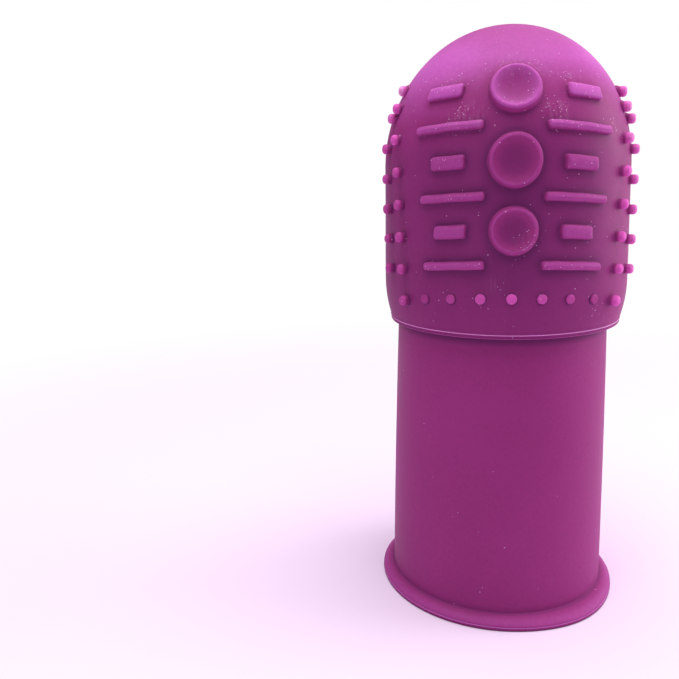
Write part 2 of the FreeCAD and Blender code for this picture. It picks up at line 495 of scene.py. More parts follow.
@dataclass
class DishedDisc:
    """Round boss with a soft crest and a dished face."""

    rows: TextureRows
    row: int
    radius: float
    rise: float = 0.52
    crest_round: float = 0.27
    root_round: float = 0.1
    draft: float = 0.08
    dish_depth: float = 0.46
    dish_power: float = 2.2
    # Painted tones: shade in the dished bowl and light on the crest.
    bowl_light_shade: float = -0.5
    rim_light_shade: float = 0.25
    wobble: float = 0.007
    lip_share: float = 0.05
    lip_drop: float = 0.55
    bowl_shares: tuple[float, ...] = (0.965, 0.92, 0.86, 0.78, 0.69, 0.58, 0.46, 0.33, 0.19, 0.08)
    sides: int = 96

    def build(self) -> Patch:
        """Mesh the boss in place.

        Returns:
            The boss as a patch with its root ring first.
        """
        meridian = self.rows.meridian
        along = meridian.at_height(self.rows.first_height + self.row * self.rows.pitch)
        cap_radius = float(meridian.radius(along))
        centre = meridian.place(np.zeros(1), np.array([along]), np.zeros(1))[0]
        axis = meridian.normal(0.0, along)
        across = np.array([1.0, 0.0, 0.0])
        up = np.cross(axis, across)
        turn = np.linspace(0, 2 * math.pi, self.sides, endpoint=False)
        round_x, round_y = np.cos(turn), np.sin(turn)
        phase = 1.3 * self.row
        lobes = np.sin(2 * turn + phase) + np.sin(3 * turn + 2 * phase) + np.sin(7 * turn) / 3
        round_x = round_x * (1 + self.wobble * lobes)
        round_y = round_y * (1 + self.wobble * lobes)
        spoke = round_x[:, None] * across + round_y[:, None] * up
        points, tones, first = [], [], None
        for angle in np.linspace(0, math.pi / 2, 6):
            reach = self.radius + self.draft + self.root_round * (1 - math.sin(angle))
            outline = Outline(reach * round_x / cap_radius, along + reach * round_y)
            placed = meridian.place(outline.angle, outline.along, np.zeros(self.sides))
            points.append(placed + axis * self.root_round * (1 - math.cos(angle)))
            tones.append(PAINTED_LIGHT.painted_shade_to_light(0.4 * (1 - math.cos(angle)), self.rim_light_shade))
            first = first or outline
        for angle in np.linspace(0, math.pi / 2, 7):
            reach = self.radius - self.crest_round * (1 - math.cos(angle))
            lift = self.rise - self.crest_round * (1 - math.sin(angle))
            points.append(centre + spoke * reach + axis * lift)
            tones.append(PAINTED_LIGHT.painted_shade_to_light(lift / self.rise, self.rim_light_shade))
        edge = self.radius - self.crest_round
        for share in self.bowl_shares:
            depth = self.dish_depth * (1 - share**self.dish_power)
            lift = self.rise - depth * min(1.0, (1 - share) / self.lip_share + self.lip_drop)
            points.append(centre + spoke * edge * share + axis * lift)
            tones.append(self.bowl_light_shade + (self.rim_light_shade - self.bowl_light_shade) * share**4)
        count = len(points)
        points.append((centre + axis * (self.rise - self.dish_depth))[None, :])
        faces: list[tuple[int, ...]] = []
        for ring in range(count - 1):
            low, high = ring * self.sides, (ring + 1) * self.sides
            for k in range(self.sides):
                after = (k + 1) % self.sides
                faces.append((low + k, low + after, high + after, high + k))
        last = (count - 1) * self.sides
        for k in range(self.sides):
            faces.append((last + k, last + (k + 1) % self.sides, count * self.sides))
        tone = np.append(np.repeat(tones, self.sides), self.bowl_light_shade)
        return Patch(np.concatenate(points), tone, faces, first, self.sides)


@dataclass
class TexturedCap:
    """The cap's outer skin between two level rings, meshed around the raised forms."""

    meridian: Meridian
    rows: TextureRows
    columns: int = 240
    low_height: float = 33.2
    high_height: float = 58.2
    row_step: float = 0.4
    clearance: float = 0.14
    seam_share: float = 3.1
    disc_radii: tuple[float, float, float] = (2.16, 2.38, 2.28)
    # Painted shade, or light for the top disc, in each disc's bowl, and painted light on its crest.
    disc_light_shade: tuple[tuple[float, float], ...] = ((-0.5, 0.35), (-0.5, 0.35), (0.25, 0.8))
    short_rib: tuple[float, float, float] = (4.25, 2.85, 1.25)
    long_rib: tuple[float, float, float] = (2.55, 5.5, 0.76)

    def patches(self) -> list[Patch]:
        """Build every disc and rib of the pattern.

        Returns:
            The raised forms, from the lowest row up.
        """
        made = []
        for step in range(3):
            wide = self.rows.spread**step
            for side in (1, -1):
                inner, length, width = self.long_rib
                rib = RaisedRib(self.rows, 2 * step + 1, inner * wide, length * wide, width, side)
                made.append(rib.build())
                inner, length, width = self.short_rib
                rib = RaisedRib(self.rows, 2 * step + 2, inner * wide, length * wide, width, side)
                made.append(rib.build())
            bowl, rim = self.disc_light_shade[step]
            disc = DishedDisc(
                self.rows, 2 * step + 2, self.disc_radii[step], bowl_light_shade=bowl, rim_light_shade=rim
            )
            made.append(disc.build())
        return made

    def unrolled(self, ring: Outline) -> np.ndarray:
        """Ring in the flat map of the cap, in millimetres at its widest."""
        return np.stack([ring.angle * self.meridian.belly_radius, ring.along], axis=-1)

    @staticmethod
    def near(points: np.ndarray, ring: np.ndarray, gap: float) -> np.ndarray:
        """Tell which points lie inside a ring or nearer to it than a gap.

        Args:
            points: Points in the flat map.
            ring: Closed ring in the flat map.
            gap: Distance that counts as near.

        Returns:
            One truth value for each point.
        """
        inside, close = TexturedCap.against(points, ring)
        return inside | (close < gap)

    @staticmethod
    def against(points: np.ndarray, ring: np.ndarray) -> tuple[np.ndarray, np.ndarray]:
        """Set points against a ring.

        Args:
            points: Points in the flat map.
            ring: Closed ring in the flat map.

        Returns:
            Which points lie inside the ring, and each point's distance to it.
        """
        inside = np.zeros(len(points), bool)
        close = np.full(len(points), np.inf)
        for a, b in zip(ring, np.roll(ring, -1, axis=0)):
            crosses = (a[1] > points[:, 1]) != (b[1] > points[:, 1])
            span = b[1] - a[1] if b[1] != a[1] else 1e-12
            at = a[0] + (points[:, 1] - a[1]) / span * (b[0] - a[0])
            inside ^= crosses & (points[:, 0] < at)
            run = b - a
            share = ((points - a) @ run / max(run @ run, 1e-12)).clip(0, 1)
            gaps = points - a - share[:, None] * run
            close = np.minimum(close, np.hypot(gaps[:, 0], gaps[:, 1]))
        return inside, close

    def painted_skin_tone(
        self, points: np.ndarray, placed: np.ndarray, rings: list[np.ndarray]
    ) -> np.ndarray:
        """Painted tone of the plain skin, with painted shade darkening it softly towards the raised
        forms.

        Args:
            points: Points of the skin in the flat map.
            placed: The same points on the cap.
            rings: Root rings of the raised forms.

        Returns:
            One tone for each point.
        """
        tone = PAINTED_LIGHT.skin(placed)
        for ring in rings:
            low, high = ring.min(0) - 2.0, ring.max(0) + 2.0
            local = np.where(((points > low) & (points < high)).all(1))[0]
            gap = self.against(points[local], ring)[1]
            tone[local] -= PAINTED_LIGHT.contact_painted_shade * np.exp(-gap / PAINTED_LIGHT.contact_reach)
        return tone.clip(-1, 1)

    def build(self) -> tuple[np.ndarray, np.ndarray, list[tuple[int, ...]]]:
        """Mesh the skin and its raised forms.

        Returns:
            The points, their tones and the faces.
        """
        low = self.meridian.at_height(self.low_height)
        high = self.meridian.at_height(self.high_height)
        angles = np.linspace(-math.pi, math.pi, self.columns + 1)
        alongs = np.linspace(low, high, round((high - low) / self.row_step) + 1)
        scale = self.meridian.belly_radius
        grid = np.array([(a * scale, t) for t in alongs for a in angles])
        ends = (grid[:, 1] == low) | (grid[:, 1] == high)
        rim = ends | (abs(grid[:, 0]) > self.seam_share * scale)
        keep = np.ones(len(grid), bool)
        patches = self.patches()
        rings = [self.unrolled(patch.ring) for patch in patches]
        for ring in rings:
            box_low, box_high = ring.min(0) - 0.5, ring.max(0) + 0.5
            local = np.where(((grid > box_low) & (grid < box_high)).all(1))[0]
            keep[local[self.near(grid[local], ring, self.clearance)]] = False
        flat = list(grid[keep | rim])
        edges, starts = [], []
        for ring in rings:
            start = len(flat)
            starts.append(start)
            flat += list(ring)
            edges += [(start + k, start + (k + 1) % len(ring)) for k in range(len(ring))]
        made = delaunay_2d_cdt([Vector(p) for p in flat], edges, [], 0, 1e-7)
        out = np.array([tuple(p) for p in made[0]])
        sources = {source: new for new, group in enumerate(made[3]) for source in group}
        faces = np.array([tuple(face) for face in made[2]])
        centres = out[faces].mean(1)
        hidden = np.zeros(len(faces), bool)
        for ring in rings:
            local = np.where(((centres > ring.min(0)) & (centres < ring.max(0))).all(1))[0]
            hidden[local[self.near(centres[local], ring, 0.0)]] = True
        faces = faces[~hidden]
        skin = self.meridian.place(out[:, 0] / scale, out[:, 1], np.zeros(len(out)))
        points, tones = [skin], [self.painted_skin_tone(out, skin, rings)]
        numbered = [tuple(int(k) for k in face) for face in faces]
        total = len(skin)
        for patch, start in zip(patches, starts):
            size = patch.ring_size
            shared = [sources[start + k] for k in range(size)]
            points.append(patch.points[size:])
            tones.append(patch.tones[size:])

            def number(k: int) -> int:
                """Number of a patch point in the whole skin."""
                return shared[k] if k < size else total + k - size

            numbered += [tuple(number(k) for k in face) for face in patch.faces]
            total += len(patch.points) - size
        return np.concatenate(points), np.concatenate(tones), numbered


@dataclass
class DustAndCrestGlints:
    """Where fine dust lies thick on the cap around a few spots, plus painted glints along the
    crests.
    """

    meridian: Meridian
    thin: float = 0.009
    sleeve: float = 0.002
    # Painted glints: specks along the crests of ribs, which the crest tone picks out.
    crest: float = 0.08
    crest_tone: float = 0.3
    crest_span: tuple[float, float] = (36.0, 55.0)
    spots: tuple[tuple[float, float, float, float], ...] = (
        (0.0, 55.6, 1.5, 0.35),
        (13.0, 55.3, 0.8, 0.3),
        (-19.0, 51.4, 1.1, 0.5),
        (-28.0, 51.2, 1.0, 0.3),
        (19.0, 51.5, 1.1, 0.5),
        (30.0, 54.3, 0.9, 0.3),
        (-31.0, 54.2, 1.0, 0.25),
        (50.0, 50.5, 1.2, 0.2),
        (5.0, 40.0, 1.1, 0.25),
        (33.0, 40.5, 0.8, 0.2),
        (-7.0, 36.0, 0.9, 0.2),
        (-13.0, 34.6, 0.5, 0.4),
        (40.0, 33.0, 1.2, 0.15),
    )

    def amount(self, points: np.ndarray, tones: np.ndarray) -> np.ndarray:
        """Share of the surface's cells that hold a speck, at each point.

        Args:
            points: Points in millimetres.
            tones: Their tones, which tell the crests from the skin.

        Returns:
            One share for each point.
        """
        height = points[:, 2]
        share = np.where(height > self.meridian.edge_height, self.thin, self.sleeve)
        for angle, level, reach, thickness in self.spots:
            along = np.array([self.meridian.at_height(level)])
            centre = self.meridian.place(np.radians([angle]), along, np.zeros(1))[0]
            gap = np.linalg.norm(points - centre, axis=1)
            share = share + thickness * np.exp(-((gap / reach) ** 2))
        low, high = self.crest_span
        return share + self.crest * ((tones > self.crest_tone) & (height > low) & (height < high))


@dataclass
class ThimbleBody:
    """The whole moulding: sleeve, rolled rim, skirt edge, cap and finger hole.

    The steps of the rim's flash and of the skirt's lip are each out from their edge, up from it,
    and how uneven.
    """

    meridian: Meridian
    cap: TexturedCap
    dust_and_glints: DustAndCrestGlints
    sleeve_base: float = 11.84
    sleeve_top: float = 11.19
    sleeve_bow: float = 0.07
    skirt_low: float = 30.62
    rim_radius: float = 13.13
    rim_edge: float = 0.42
    rim_top: float = 1.33
    rim_swell: float = 0.5
    hole_radius: float = 9.8
    hole_straight: float = 48.0
    hole_top: float = 57.7
    flash: float = 0.05
    rim_bulge: float = 0.34
    bulge_angle: float = 0.72
    bulge_reach: float = 0.42
    mouth_round: float = 0.5
    mouth_land: float = 1.2
    foot_round: float = 0.16
    foot_land: float = 0.9
    rim_clear: float = 0.06
    sleeve_start: float = 1.45
    sleeve_end_gap: float = 0.2
    crease_round: float = 0.12
    cap_start: float = 0.58
    cap_edge_step: float = 0.5
    weld: float = 2e-6
    waves: tuple[tuple[float, float, float], ...] = (
        (3, 0.4, 0.3),
        (7, 1.9, 0.25),
        (13, 4.1, 0.2),
        (29, 0.7, 0.15),
        (47, 2.6, 0.1),
    )
    flash_steps: tuple[tuple[float, float, float], ...] = (
        (-0.02, -0.08, 0.0),
        (-0.01, -0.03, 0.3),
        (-0.01, 0.0, 0.4),
        (-0.05, 0.04, 0.1),
    )
    lip_steps: tuple[tuple[float, float, float], ...] = (
        (-0.2, 0.0, 0.0),
        (-0.05, 0.0, 0.2),
        (0.0, 0.015, 0.6),
        (0.03, 0.05, 0.8),
        (0.025, 0.09, 0.6),
        (0.01, 0.13, 0.3),
        (0.01, 0.27, 0.3),
        (0.025, 0.31, 0.6),
        (0.08, 0.36, 1.0),
        (0.1, 0.4, 1.0),
        (0.085, 0.44, 1.0),
        (0.06, 0.47, 0.4),
        (0.055, 0.51, 0.1),
    )

    @staticmethod
    def arc(
        centre: tuple[float, float], size: tuple[float, float], start: float, end: float, count: int
    ) -> list[tuple[float, float]]:
        """Points of an elliptical arc in the half section.

        Args:
            centre: Radius and height of the centre.
            size: Half widths of the ellipse, outwards and upwards.
            start: First angle in degrees, from outwards towards up.
            end: Last angle in degrees.
            count: Number of points.

        Returns:
            Radius and height of each point.
        """
        turns = np.radians(np.linspace(start, end, count))
        return [
            (centre[0] + size[0] * math.cos(t), centre[1] + size[1] * math.sin(t)) for t in turns
        ]

    def low_section(self) -> list[tuple[float, float, float]]:
        """Half section from the finger hole's mouth up to the cap's low ring.

        Returns:
            Radius, height and unevenness of each level ring.
        """
        size, foot = self.mouth_round, self.foot_round
        mouth = self.arc((self.hole_radius + size, size), (size, size), 180, 270, 7)
        under = [(self.hole_radius + self.mouth_land, 0.0), (self.rim_radius - self.foot_land, 0.0)]
        rim = self.arc((self.rim_radius - foot, foot), (foot, foot), 270, 360, 5)
        outline = [(r, z, 0.0) for r, z in mouth + under + rim]
        for out, up, rough in self.flash_steps:
            outline.append((self.rim_radius + out, self.rim_edge + up, rough))
        span = self.rim_radius - self.rim_clear - self.sleeve_base
        rise = self.rim_top - self.rim_edge - self.rim_clear
        for share in np.linspace(0, 1, 14):
            turn = share * math.pi / 2
            out = (1 - share) * (1 - self.rim_swell) + math.cos(turn) * self.rim_swell
            up = share * (1 - self.rim_swell) + math.sin(turn) * self.rim_swell
            radius = self.sleeve_base + 0.03 + out * span
            outline.append((radius, self.rim_edge + self.rim_clear + up * rise, 0.0))
        for height in (self.rim_top + 0.03, self.sleeve_start - 0.03):
            outline.append((self.sleeve_base, height, 0.0))
        length = self.skirt_low - self.sleeve_end_gap - self.sleeve_start
        for share in np.linspace(0.03, 1, 30):
            bow = self.sleeve_bow * 4 * share * (1 - share)
            radius = self.sleeve_base + (self.sleeve_top - self.sleeve_base) * share + bow
            outline.append((radius, self.sleeve_start + length * share, 0.0))
        low, edge = self.skirt_low, self.meridian.edge_radius
        size = self.crease_round
        crease = self.arc((self.sleeve_top + size, low - size), (size, size), 180, 90, 4)
        outline += [(r, z, 0.0) for r, z in crease]
        outline += [(edge + out, low + up, rough) for out, up, rough in self.lip_steps]
        start = self.meridian.at_height(low + self.cap_start)
        end = self.meridian.at_height(self.cap.low_height)
        for along in np.linspace(start, end, 9)[:-1]:
            outline.append(
                (float(self.meridian.radius(along)), float(self.meridian.height(along)), 0.0)
            )
        return outline

    def high_section(self) -> list[tuple[float, float]]:
        """Half section of the dome's top, from above the cap's high ring.

        Returns:
            Radius and height of each level ring.
        """
        start = self.meridian.at_height(self.cap.high_height)
        alongs = np.linspace(start, self.meridian.length, 18)[1:-1]
        return [(float(self.meridian.radius(t)), float(self.meridian.height(t))) for t in alongs]

    def hole_section(self) -> list[tuple[float, float]]:
        """Half section of the finger hole, from its tip down to its mouth.

        Returns:
            Radius and height of each level ring.
        """
        size = (self.hole_radius, self.hole_top - self.hole_straight)
        tip = self.arc((0.0, self.hole_straight), size, 90, 0, 22)[1:]
        wall = [(self.hole_radius, z) for z in np.linspace(self.hole_straight, 0.5, 14)[1:-1]]
        return tip + wall

    def uneven(self, angles: np.ndarray) -> np.ndarray:
        """Gentle waviness of a moulding line around the finger axis, about zero."""
        return sum(size * np.sin(turns * angles + phase) for turns, phase, size in self.waves)

    def build(self, material: bpy.types.Material) -> bpy.types.Object:
        """Mesh the moulding as one closed skin, dress it and hand it over.

        Args:
            material: Finish of the moulding.

        Returns:
            The new object, in metres.
        """
        points, tones, faces = self.cap.build()
        columns = self.cap.columns
        angles = np.linspace(-math.pi, math.pi, columns, endpoint=False)
        wave = self.uneven(angles)
        bulge = np.exp(-(((angles - self.bulge_angle) / self.bulge_reach) ** 2))
        meridian = self.meridian

        def ring_at(radius: float, height: float, rough: float) -> np.ndarray:
            """Make one level ring, which follows the cap's shift where it is part of it.

            Args:
                radius: Radius of the ring.
                height: Height of the ring.
                rough: Its unevenness, where 1 is that of the flash.

            Returns:
                The ring's points.
            """
            out = radius + self.flash * rough * (wave - 0.6)
            if height > self.skirt_low - 0.01:
                share = (radius - self.sleeve_top - 0.2) / self.cap_edge_step
                share = min(1.0, max(0.0, share))
                moved = share * meridian.shift(height) * meridian.sway_share(angles)
            else:
                share = max(0.0, (radius - self.sleeve_base) / (self.rim_radius - self.sleeve_base))
                out = out + self.rim_bulge * share * (height < self.sleeve_start - 0.05) * bulge
                moved = 0.0
            side = out * np.sin(angles) + moved
            return np.stack([side, -out * np.cos(angles), np.full(columns, height)], -1)

        blocks, strips = [points], []
        total = len(points)

        def add_rings(section: list[tuple[float, ...]]) -> None:
            """Add level rings joined from the first to the last.

            Args:
                section: Radius and height of each ring, and its unevenness where it has one.
            """
            nonlocal total
            for number, values in enumerate(section):
                radius, height, rough = (*values, 0.0)[:3]
                blocks.append(ring_at(radius, height, rough))
                if number:
                    strips.append((total - columns, total))
                total += columns

        low = self.cap.low_height
        high = self.cap.high_height
        section = self.low_section()
        add_rings(section + [(float(meridian.radius(meridian.at_height(low))), low, 0.0)])
        top = [(float(meridian.radius(meridian.at_height(high))), high)] + self.high_section()
        add_rings(top)
        last_dome = total - columns
        hole = self.hole_section()
        add_rings(hole)
        first_hole, last_hole = total - len(hole) * columns, total - columns
        strips.append((last_hole, len(points)))
        for below, above in strips:
            for k in range(columns):
                after = (k + 1) % columns
                faces.append((below + k, below + after, above + after, above + k))
        blocks.append(np.array([[0, 0, self.meridian.heights[-1]], [0, 0, self.hole_top]]))
        for k in range(columns):
            after = (k + 1) % columns
            faces.append((last_dome + k, last_dome + after, total))
            faces.append((first_hole + after, first_hole + k, total + 1))
        placed = np.concatenate(blocks)
        # Tones carry painted light and shade, for the cap and the plain parts alike.
        tone = np.concatenate([tones, np.zeros(len(placed) - len(tones))])
        tone[len(tones) :] = self.plain_painted_tone(placed[len(tones) :])
        values = {"tone": tone, "dust_and_glints": self.dust_and_glints.amount(placed, tone)}
        body = new_mesh("thimble_body", placed, faces, values, weld=self.weld)
        body.data.materials.append(material)
        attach(body, "root")
        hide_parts("finger_thimble")
        return body

    def plain_painted_tone(self, points: np.ndarray) -> np.ndarray:
        """Painted tone of the plain parts: painted highlights on thin moulding lines, painted shade
        in creases.

        Args:
            points: Points in millimetres.

        Returns:
            One tone for each point.
        """
        radius = np.hypot(points[:, 0], points[:, 1])
        height = points[:, 2]
        outside = radius > self.hole_radius + 0.6
        cap = (outside & (height > self.skirt_low + 0.02)) | (height > self.cap.high_height - 0.01)
        tone = np.where(cap, PAINTED_LIGHT.skin(points), 0.0)
        # Height, tone, reach and least radius: painted highlights on the skirt's flash and lip,
        # pale painted bands on lip and rim, painted shade under the skirt, in the rim's crease and
        # at its foot.
        for level, size, reach, least in (
            (self.skirt_low + 0.4, 2.3, 0.05, 12.0),
            (self.skirt_low + 0.04, 1.7, 0.035, 12.0),
            (self.skirt_low + 0.2, 0.6, 0.1, 12.0),
            (self.skirt_low - 0.2, -1.0, 0.45, 0.0),
            (0.75, 0.36, 0.5, 12.2),
            (self.rim_top, -0.5, 0.16, 0.0),
            (self.rim_edge - 0.02, 1.2, 0.04, 13.0),
            (0.1, -0.7, 0.12, 13.0),
        ):
            near = np.exp(-(((height - level) / reach) ** 2))
            tone += size * near * (outside & (radius > least))
        return tone.clip(-1, 2)


def new_mesh(
    name: str,
    points: np.ndarray,
    faces: list[tuple[int, ...]],
    values: dict[str, np.ndarray] | None = None,
    weld: float = 0.0,
) -> bpy.types.Object:
    """Make a smooth object from points in millimetres.

    Args:
        name: Name of the object and its mesh.
        points: One row of x, y and z for each point.
        faces: Point numbers of each face.
        values: Numbers to keep with each point, by name.
        weld: Distance in metres under which points are merged.

    Returns:
        The new object, with its place in its mesh.
    """
    mesh = bpy.data.meshes.new(name)
    mesh.from_pydata([tuple(p) for p in np.asarray(points) * MM], [], faces)
    item = bpy.data.objects.new(name, mesh)
    bpy.context.scene.collection.objects.link(item)
    for label, numbers in (values or {}).items():
        mesh.attributes.new(label, "FLOAT", "POINT").data.foreach_set("value", numbers)
    if weld:
        shape = bmesh.new()
        shape.from_mesh(mesh)
        bmesh.ops.remove_doubles(shape, verts=shape.verts, dist=weld)
        bmesh.ops.recalc_face_normals(shape, faces=shape.faces)
        shape.to_mesh(mesh)
        shape.free()
    mesh.polygons.foreach_set("use_smooth", [True] * len(mesh.polygons))
    mesh.update()
    return item


class NodeBench:
    """Small helper that adds and joins nodes in one tree."""

    def __init__(self, tree: bpy.types.NodeTree) -> None:
        """Work on a tree."""
        self.tree = tree

    def add(self, kind: str, **settings: object) -> bpy.types.Node:
        """Add a node and set its properties and unlinked inputs.

        Args:
            kind: Blender's name of the node type.
            settings: Properties by name. The one called inputs holds the values or links of
                the node's inputs, by name or number.

        Returns:
            The new node.
        """
        node = self.tree.nodes.new(kind)
        inputs = settings.pop("inputs", {})
        for name, value in settings.items():
            setattr(node, name, value)
        for key, value in inputs.items():
            self.feed(node.inputs[key], value)
        return node

    def feed(self, socket: bpy.types.NodeSocket, value: object) -> None:
        """Link a socket to another one, or set its value.

        Args:
            socket: The input.
            value: An output to link, or a plain value.
        """
        if isinstance(value, bpy.types.NodeSocket):
            self.tree.links.new(value, socket)
        else:
            socket.default_value = value

    def math(self, operation: str, *values: object, clamp: bool = False) -> bpy.types.NodeSocket:
        """Add a Math node.

        Args:
            operation: Blender's name of the operation.
            values: Its numbers or links, in order.
            clamp: Whether the result stays between 0 and 1.

        Returns:
            The result.
        """
        node = self.add("ShaderNodeMath", operation=operation, use_clamp=clamp)
        for number, value in enumerate(values):
            self.feed(node.inputs[number], value)
        return node.outputs[0]

    def blend(
        self, share: bpy.types.NodeSocket, first: object, second: object
    ) -> bpy.types.NodeSocket:
        """Number that runs from the first to the second as the share runs from 0 to 1."""
        span = self.math("SUBTRACT", second, first)
        return self.math("ADD", self.math("MULTIPLY", span, share), first)

    def rounding(self, share: bpy.types.NodeSocket) -> bpy.types.NodeSocket:
        """Drop of a quarter round from 0 to 1, as its share runs from 0 to 1."""
        rest = self.math("SUBTRACT", 1.0, self.math("MULTIPLY", share, share))
        return self.math("SUBTRACT", 1.0, self.math("SQRT", rest))

    def named(self, name: str, kind: str = "FLOAT") -> bpy.types.NodeSocket:
        """Value of a named attribute in a geometry tree."""
        node = self.add("GeometryNodeInputNamedAttribute", data_type=kind, inputs={0: name})
        return node.outputs[0]

    def ramp(self, value: bpy.types.NodeSocket, low: float, high: float) -> bpy.types.NodeSocket:
        """Turn a value into a smooth step.

        Args:
            value: The value.
            low: Where the step is 0.
            high: Where it is 1.

        Returns:
            The step's height.
        """
        node = self.add(
            "ShaderNodeMapRange",
            interpolation_type="SMOOTHSTEP",
            inputs={0: value, 1: low, 2: high, 3: 0.0, 4: 1.0},
        )
        return node.outputs[0]

    def mix(self, share: object, first: object, second: object) -> bpy.types.NodeSocket:
        """Mix two colours.

        Args:
            share: Share of the second colour.
            first: First colour.
            second: Second colour.

        Returns:
            The mixed colour.
        """
        node = self.add("ShaderNodeMix", data_type="RGBA")
        for number, value in ((0, share), (6, first), (7, second)):
            self.feed(node.inputs[number], value)
        return node.outputs[2]


@dataclass
class PegField:
    """Small round pegs of one kind, set on the cap by a node tree."""

    kind: PegKind
    places: list[tuple[float, float, float, float]]
    meridian: Meridian
    radius: float
    rise: float
    tip_round: float
    seed: int
    root: float = 0.5
    foot_round: float = 0.1
    unevenness: float = 0.08
    # Painted shade at each peg's root and painted light at its tip, as tones.
    root_painted_shade: float = -0.5
    tip_painted_light: float = 0.85
    sides: int = 28
    steps: int = 30

    def carrier(self) -> bpy.types.Object:
        """Set points on the cap, each with its outward direction, share of full height and painted
        tone.

        Returns:
            The object that carries the points.
        """
        points, outward, share, shade = [], [], [], []
        for angle, height, size, tone in self.places:
            along = np.array([self.meridian.at_height(height)])
            points.append(self.meridian.place(np.array([angle]), along, np.zeros(1))[0])
            outward.append((math.sin(angle), -math.cos(angle), 0.0))
            share.append(size)
            shade.append(tone)
        values = {"height_share": np.array(share), "peg_light_shade": np.array(shade)}
        item = new_mesh(self.kind.value, np.array(points), [], values)
        mesh = item.data
        facing = mesh.attributes.new("facing", "FLOAT_VECTOR", "POINT")
        facing.data.foreach_set("vector", np.array(outward, np.float32).ravel())
        return item

    def profile(
        self, bench: NodeBench, level: bpy.types.NodeSocket, given: bpy.types.NodeOutputs
    ) -> bpy.types.NodeSocket:
        """Radius of the peg at a level: a round-edged cylinder with a fillet at its foot.

        Args:
            bench: Bench on the node tree.
            level: Height above the cap.
            given: The tree's inputs.

        Returns:
            The radius.
        """
        start = bench.math("SUBTRACT", given["Rise"], given["Tip Round"])
        past = bench.math("SUBTRACT", level, start)
        rounded = bench.rounding(bench.math("DIVIDE", past, given["Tip Round"], clamp=True))
        above = bench.math("DIVIDE", level, given["Foot Round"], clamp=True)
        flared = bench.rounding(bench.math("SUBTRACT", 1.0, above))
        cut = bench.math("MULTIPLY", rounded, given["Tip Round"])
        flare = bench.math("MULTIPLY", flared, given["Foot Round"])
        return bench.math("ADD", bench.math("SUBTRACT", given["Radius"], cut), flare)

    def tree(self, material: bpy.types.Material) -> bpy.types.NodeTree:
        """Build the node tree that lathes a peg and sets it on every point.

        Args:
            material: Finish of the pegs.

        Returns:
            The geometry node tree.
        """
        tree = bpy.data.node_groups.new(f"{self.kind.value}_tree", "GeometryNodeTree")
        face = tree.interface
        face.new_socket("Geometry", in_out="INPUT", socket_type="NodeSocketGeometry")
        for name in ("Radius", "Rise", "Root", "Tip Round", "Foot Round", "Unevenness"):
            face.new_socket(name, in_out="INPUT", socket_type="NodeSocketFloat")
        face.new_socket("Seed", in_out="INPUT", socket_type="NodeSocketInt")
        face.new_socket("Geometry", in_out="OUTPUT", socket_type="NodeSocketGeometry")
        bench = NodeBench(tree)
        given = bench.add("NodeGroupInput").outputs
        line = bench.add("GeometryNodeCurvePrimitiveLine", inputs={1: (0.0, 0.0, 1.0)})
        fine = bench.add(
            "GeometryNodeResampleCurve", inputs={"Curve": line.outputs[0], "Count": self.steps}
        )
        number = bench.add("GeometryNodeSplineParameter").outputs["Index"]
        eased = bench.math("SINE", bench.math("MULTIPLY", number, math.pi / 2 / (self.steps - 1)))
        span = bench.math("ADD", given["Rise"], given["Root"])
        level = bench.math("SUBTRACT", bench.math("MULTIPLY", eased, span), given["Root"])
        place = bench.add("ShaderNodeCombineXYZ", inputs={2: level})
        set_place = bench.add(
            "GeometryNodeSetPosition",
            inputs={"Geometry": fine.outputs[0], "Position": place.outputs[0]},
        )
        width = self.profile(bench, level, given)
        set_width = bench.add(
            "GeometryNodeSetCurveRadius", inputs={"Curve": set_place.outputs[0], "Radius": width}
        )
        # Painted tone up the peg: shade at its root, light at its tip.
        above = bench.math("DIVIDE", level, given["Rise"])
        tone = bench.blend(bench.ramp(above, -0.05, 0.7), self.root_painted_shade, self.tip_painted_light)
        set_tone = bench.add(
            "GeometryNodeStoreNamedAttribute",
            data_type="FLOAT",
            domain="POINT",
            inputs={"Geometry": set_width.outputs[0], "Name": "tone", "Value": tone},
        )
        ring = bench.add(
            "GeometryNodeCurvePrimitiveCircle", inputs={"Resolution": self.sides, "Radius": 1.0}
        )
        skin = bench.add(
            "GeometryNodeCurveToMesh",
            inputs={
                "Curve": set_tone.outputs[0],
                "Profile Curve": ring.outputs[0],
                "Fill Caps": True,
            },
        )
        if "Scale" in skin.inputs:
            radius = bench.add("GeometryNodeInputRadius")
            tree.links.new(radius.outputs[0], skin.inputs["Scale"])
        facing = bench.named("facing", "FLOAT_VECTOR")
        turned = bench.add(
            "FunctionNodeAlignRotationToVector", axis="Z", inputs={"Vector": facing}
        )
        spin = bench.add(
            "FunctionNodeRandomValue",
            data_type="FLOAT",
            inputs={
                2: bench.math("SUBTRACT", 1.0, given["Unevenness"]),
                3: 1.0,
                "Seed": given["Seed"],
            },
        )
        wide = spin.outputs[1]
        tall = bench.math("MULTIPLY", bench.named("height_share"), wide)
        scale = bench.add("ShaderNodeCombineXYZ", inputs={0: wide, 1: wide, 2: tall})
        put = bench.add(
            "GeometryNodeInstanceOnPoints",
            inputs={
                "Points": given["Geometry"],
                "Instance": skin.outputs[0],
                "Rotation": turned.outputs[0],
                "Scale": scale.outputs[0],
            },
        )
        real = bench.add("GeometryNodeRealizeInstances", inputs={0: put.outputs[0]})
